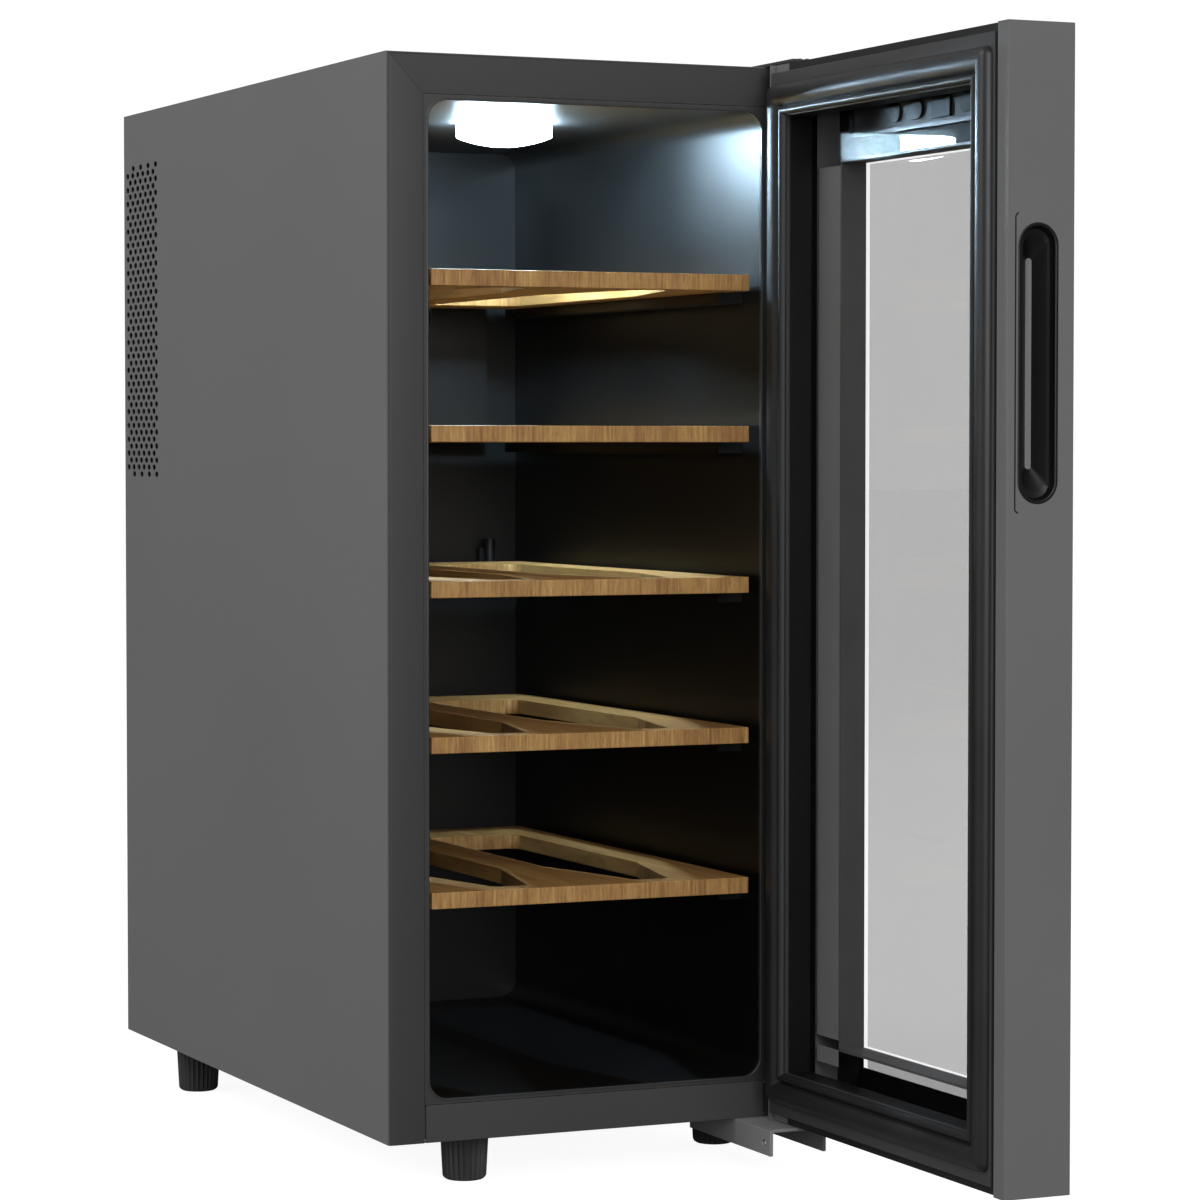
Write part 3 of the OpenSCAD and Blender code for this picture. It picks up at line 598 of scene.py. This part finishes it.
verts, faces = sheet_panel(at, side_ends, vent_holes(), D, FLANGE)
joined(piece("side_wall_left", verts, faces, [paint], "cabinet",
             ["left_side_panel"]))
verts, faces = sheet_panel(lambda a, b, z: at(W - a, b, z), side_ends, vent_holes(), D, FLANGE)
joined(piece("side_wall_right", verts, faces, [paint], "cabinet",
             ["right_side_panel"]))
screw_holes = [circle_points(y, PIVOT[0], 2.1, 16) for y in TOP_SCREW_Y]
verts, faces = sheet_panel(lambda a, b, x: at(x, b, H - a), top_ends, screw_holes, D, FLANGE_TOP)
joined(piece("top_wall", verts, faces, [paint], "cabinet", ["top_panel"]))

# ---- rounded lip of the liner --------------------------------------------------------------


def round_corners(x0, x1, z0, z1, r, steps=10):
    """Points and outward directions round a rectangle with round corners."""
    ring = []
    for cx, cz, start in ((x1 - r, z1 - r, 0), (x0 + r, z1 - r, 90), (x0 + r, z0 + r, 180),
                          (x1 - r, z0 + r, 270)):
        for i in range(steps + 1):
            a = math.radians(start + 90 * i / steps)
            ring.append((cx + r * math.cos(a), cz + r * math.sin(a), math.cos(a), math.sin(a)))
    return ring


def lip():
    """A bead that turns from the flat rim into the cavity."""
    ring = round_corners(*CAVITY, CAVITY_R)
    section = [(1.3, 1.2), (1.3, 0.18), (1.1, -0.02), (0.8, -0.2), (0.4, -0.28), (0.05, -0.2),
               (-0.2, 0.05), (-0.25, 0.7), (-0.15, 2.2), (0.3, 3.5), (0.6, 3.5), (0.6, 1.2)]
    verts = [at(x + u * nx, v, z + u * nz) for u, v in section for x, z, nx, nz in ring]
    return verts, loops_to_faces(len(ring), len(section), closed_rows=True)


verts, faces = lip()
joined(piece("liner_lip", verts, faces, [lip_plastic], "cabinet"))

# ---- folded ends of the trim rail ----------------------------------------------------------


def end_folds():
    """The rail's ends, folded behind the side flanges: they close the joint from the inside."""
    verts, faces = [], []
    section = [(FLANGE - 4.0, 1.05), (FLANGE + 3.0, 1.05), (FLANGE + 3.0, 1.6),
               (FLANGE - 3.4, 1.6), (FLANGE - 3.4, 7.0), (FLANGE - 4.0, 7.0)]
    for turned in (False, True):
        base = len(verts)
        for z in (0.1, 19.0):
            verts += [at(W - x if turned else x, y, z) for x, y in section]
        n = len(section)
        for i in range(n):
            j = (i + 1) % n
            faces.append((base + i, base + j, base + n + j, base + n + i))
        for side in (base, base + n):
            faces += [(side, side + 1, side + 2, side + 3), (side, side + 3, side + 4, side + 5)]
    return verts, faces


verts, faces = end_folds()
# The folds take the black paint, not the rail's grey, so the joint beside the flanges reads dark:
# painted shade in the gap.
joined(piece("trim_end_folds", verts, faces, [black_paint_and_shade], "cabinet"))

# ---- feet ----------------------------------------------------------------------------------


def foot(name, x, y):
    """A ribbed plastic foot on a threaded stud."""
    ribs, per_rib = 26, 8
    n = ribs * per_rib
    profile = [(0.0, 10.4, 0.0), (0.7, 11.6, 0.35), (2.0, 12.4, 1.0), (13.0, 13.0, 1.0),
               (24.0, 13.6, 1.0), (25.0, 13.7, 0.5), (25.4, 13.8, 0.0), (26.7, 13.8, 0.0),
               (26.7, 4.0, 0.0)]
    z = 26.7
    while z < 41.0:
        profile += [(z + 0.3, 4.0, 0.0), (z + 0.62, 3.45, 0.0), (z + 0.95, 4.0, 0.0)]
        z += 1.25
    profile.append((42.0, 3.4, 0.0))
    verts = []
    for height, radius, share in profile:
        for i in range(n):
            wave = 0.5 - 0.5 * math.cos(2 * math.pi * i / per_rib)
            r = radius - 1.25 * share * wave ** 0.7
            a = 2 * math.pi * i / n
            verts.append(at(x + r * math.cos(a), y + r * math.sin(a), height - FOOT_H))
    faces = loops_to_faces(n, len(profile))
    faces.append(tuple(reversed(range(n))))
    faces.append(tuple(range((len(profile) - 1) * n, len(profile) * n)))
    piece(name.replace("foot_", "ribbed_foot_"), verts, faces, [foot_rubber], name + "_body",
          [name])


for name, (x, y) in FEET.items():
    foot(name, x, y)

# ---- door seal -----------------------------------------------------------------------------

SEAL_PROFILE = [
    (0.0, 0.0), (0.0, 0.7), (0.3, 1.9), (0.9, 3.1), (1.8, 4.1), (3.0, 4.8), (4.6, 5.2),
    (6.4, 5.3), (8.2, 5.1), (9.8, 4.5), (11.1, 3.5), (12.0, 2.2), (12.4, 1.2), (12.8, 0.8),
    (13.2, 1.4), (13.7, 2.6), (14.4, 3.5), (15.3, 3.8), (16.2, 3.5), (16.9, 2.6), (17.3, 1.5),
    (17.6, 0.9), (18.0, 0.7), (18.0, 0.0),
]


def seal():
    """A bulb seal that runs round the door and turns its corners on a small radius."""
    x0, x1, z0, z1 = SEAL
    corners = [(x1, z1, 0), (x0, z1, 90), (x0, z0, 180), (x1, z0, 270)]
    steps = 6
    outer_r = 3.0
    verts, ring = [], []
    for cx, cz, start in corners:
        for i in range(steps + 1):
            ring.append((cx, cz, math.radians(start + 90 * i / steps)))
    for u, h in SEAL_PROFILE:
        r = max(outer_r + 2.0 - u, 0.4) if u < 4 else 0.4 + max(0.0, 4.5 - u) * 0.1
        for cx, cz, a in ring:
            sx = 1 if cx == x1 else -1
            sz = 1 if cz == z1 else -1
            px = cx - sx * (u + r) + r * math.cos(a)
            pz = cz - sz * (u + r) + r * math.sin(a)
            verts.append(on_door(px, DOOR_Y1 + h, pz))
    return verts, loops_to_faces(len(ring), len(SEAL_PROFILE), closed_rows=True)


verts, faces = seal()
joined(piece("door_seal", verts, faces, [rubber], "door", ["door_gasket"]))

# ---- handle recess -------------------------------------------------------------------------


def stadium(r, length, n=20):
    """Points round a stadium that stands upright: (across, up)."""
    points = []
    for side, start in ((1, 0), (-1, 180)):
        for i in range(n + 1):
            a = math.radians(start + 180 * i / n)
            points.append((r * math.cos(a), side * (length / 2 - r) + r * math.sin(a)))
    return points


def handle():
    """A funnel with a ledge that narrows to a lit strip at its bottom, in a thin round rim."""
    r, length = HANDLE_W / 2, HANDLE_LEN
    rows = [
        (11.0, r - 1.3, length - 2.6), (0.0, r - 1.3, length - 2.6), (0.0, r, length),
        (-0.25, r, length), (-0.4, r - 0.25, length - 0.5), (-0.4, r - 1.2, length - 2.4),
        (-0.15, r - 1.7, length - 3.4), (0.5, r - 2.0, length - 4.0),
        (3.2, r - 2.7, length - 6.0), (3.5, r - 3.0, length - 7.0), (3.6, r - 4.6, length - 11.0),
        (3.9, r - 4.9, length - 12.0),
        (9.3, FLOOR_W / 2 + 0.35, FLOOR_LEN + 1.6), (9.7, FLOOR_W / 2, FLOOR_LEN),
    ]
    n = len(stadium(1, 4))
    verts = []
    for depth, radius, size in rows:
        for a, b in stadium(radius, size):
            verts.append(on_door(DOOR_X0 + depth, HANDLE[0] + a, HANDLE[1] + b))
    faces = loops_to_faces(n, len(rows))
    marks = [0] * len(faces)
    faces += [tuple(reversed(range(n))), tuple(range((len(rows) - 1) * n, len(rows) * n))]
    marks += [0, 1]
    return verts, faces, marks


verts, faces, marks = handle()
joined(piece("handle_recess", verts, faces, [recess_black, strip_grey], "door",
             ["handle_insert"], marks=marks))


def seam():
    """The joint line beside the recess: a thin dark strip with a short hook at each end."""
    path = [(-12.3, 350.0), (-10.6, 351.6), (-10.6, 500.2), (-12.3, 501.9)]
    half = 0.4
    verts, faces = [], []
    for (y0, z0), (y1, z1) in zip(path, path[1:]):
        length = math.hypot(y1 - y0, z1 - z0)
        ny, nz = -(z1 - z0) / length * half, (y1 - y0) / length * half
        base = len(verts)
        for x in (DOOR_X0 + 0.05, DOOR_X0 - 0.04):
            verts += [on_door(x, y0 - ny, z0 - nz), on_door(x, y0 + ny, z0 + nz),
                      on_door(x, y1 + ny, z1 + nz), on_door(x, y1 - ny, z1 - nz)]
        faces += [(base + a, base + b, base + c, base + d) for a, b, c, d in (
            (0, 1, 2, 3), (4, 7, 6, 5), (0, 4, 5, 1), (1, 5, 6, 2), (2, 6, 7, 3), (3, 7, 4, 0))]
    return verts, faces


verts, faces = seam()
joined(piece("handle_seam", verts, faces, [recess_black], "door"))

# ---- layers on the panes -------------------------------------------------------------------


def frame_ring(outer, inner, y0, y1):
    """A flat rectangular ring on the door, as (x0, x1, z0, z1) outside and inside."""
    verts = []
    for y in (y0, y1):
        for x0, x1, z0, z1 in (outer, inner):
            verts += [on_door(x, y, z) for x, z in ((x0, z0), (x1, z0), (x1, z1), (x0, z1))]
    faces = []
    for i in range(4):
        j = (i + 1) % 4
        faces += [(i, j, 4 + j, 4 + i), (8 + i, 12 + i, 12 + j, 8 + j)]
        faces += [(i, 8 + i, 8 + j, j), (4 + i, 4 + j, 12 + j, 12 + i)]
    return verts, faces


def door_slab(x0, x1, y0, y1, z0, z1):
    """A thin flat layer on the door."""
    verts = [on_door(x, y, z) for x in (x0, x1) for y in (y0, y1) for z in (z0, z1)]
    faces = [(0, 1, 3, 2), (4, 6, 7, 5), (0, 4, 5, 1), (2, 3, 7, 6), (0, 2, 6, 4), (1, 5, 7, 3)]
    return verts, faces


border = (DOOR_X0 + 1.9, DOOR_X1 - 1.9, DOOR_Z0 + 0.4, DOOR_Z1 - 0.4)
LAYER = (GLASS_Y1 - 0.12, GLASS_Y1 - 0.04)
verts, faces = frame_ring(border, WINDOW, *LAYER)
joined(piece("window_print", verts, faces, [print_black], "door"))
for name, mat, z0, z1 in (
    ("window_film", window_tint, SPACER_Z0 + 1.2, WINDOW[3] - 1.0),
    ("window_film_lower", lower_tint, WINDOW[2], SPACER_Z0 - 1.2),
):
    verts, faces = door_slab(WINDOW[0] + 4.5, WINDOW[1] - 4.5, *LAYER, z0, z1)
    joined(piece(name, verts, faces, [mat], "door"))
verts, faces = [], []
for x0, x1 in ((RECESS[0] + 0.5, WINDOW[0] - 2), (SPACER_EDGE, RECESS[1] - 0.5)):
    for z0, z1 in ((51, 540), (RECESS[2] + 6, SPACER_Z0 - 1)):
        v, f = door_slab(x0, x1, INNER_GLASS_Y - 0.15, INNER_GLASS_Y - 0.05, z0, z1)
        faces += [tuple(i + len(verts) for i in q) for q in f]
        verts += v
joined(piece("pane_edge_bands", verts, faces, [band_grey], "door"))
pane = (RECESS[0] - 2, RECESS[1] + 2, RECESS[2] - 2, RECESS[3] + 2)
around = (pane[0] - 0.9, pane[1] + 0.9, pane[2] - 0.9, pane[3] + 0.9)
rim = (pane[0] - 0.03, pane[1] + 0.03, pane[2] - 0.03, pane[3] + 0.03)
verts, faces = frame_ring(around, rim, INNER_GLASS_Y - 0.3, INNER_GLASS_Y + INNER_GLASS_T + 0.3)
joined(piece("pane_edge_seal", verts, faces, [print_black], "door"))

# ---- studio --------------------------------------------------------------------------------

world = bpy.data.worlds.new("studio")
bpy.context.scene.world = world
world.use_nodes = True
wn, wl = world.node_tree.nodes, world.node_tree.links
sky = wn["Background"]
sky.inputs["Color"].default_value = (1, 1, 1, 1)
paths = wn.new("ShaderNodeLightPath")
level = wn.new("ShaderNodeMapRange")
wl.new(paths.outputs["Is Camera Ray"], level.inputs["Value"])
level.inputs["To Min"].default_value = 0.32
level.inputs["To Max"].default_value = 1.05
wl.new(level.outputs["Result"], sky.inputs["Strength"])

g = Graph("studio_floor")
pale = g.noise(2.0, 2.0)
g.color(g.ramp(pale, [(0.3, (0.25, 0.25, 0.25)), (0.7, (0.27, 0.27, 0.27))]))
g.shader.inputs["Roughness"].default_value = 0.9
g.shader.inputs["Specular IOR Level"].default_value = 0.0
g.shader.inputs["Emission Color"].default_value = (1, 1, 1, 1)
sight = g.nodes.new("ShaderNodeLightPath").outputs["Is Camera Ray"]
g.link(g.remap(sight, 0.0, 1.0, 0.0, 0.93), g.shader.inputs["Emission Strength"])
mesh = bpy.data.meshes.new("studio_floor")
half = 30.0
z = CORNER.z - FOOT_H * MM
mesh.from_pydata([(-half, -half, z), (half, -half, z), (half, half, z), (-half, half, z)], [],
                 [(0, 1, 2, 3)])
mesh.materials.append(g.mat)
floor = bpy.data.objects.new("studio_floor", mesh)
bpy.context.scene.collection.objects.link(floor)


def softbox(name, place, aim, size, power):
    data = bpy.data.lights.new(name, "AREA")
    data.shape = "RECTANGLE"
    data.size, data.size_y = size
    data.energy = power
    lamp = bpy.data.objects.new(name, data)
    lamp.location = place
    lamp.rotation_euler = (Vector(aim) - Vector(place)).to_track_quat("-Z", "Y").to_euler()
    bpy.context.scene.collection.objects.link(lamp)


softbox("key_left", (-3.2, 0.6, 2.2), (0, 0, 0.45), (2.4, 2.4), 66)
softbox("front", (-0.5, -3.4, 1.5), (0, 0, 0.3), (2.2, 2.2), 68)
softbox("right", (3.0, 1.0, 1.8), (0, 0, 0.3), (2.0, 2.0), 24)

bpy.context.scene.view_settings.view_transform = "Standard"
bpy.context.scene.view_settings.look = "None"
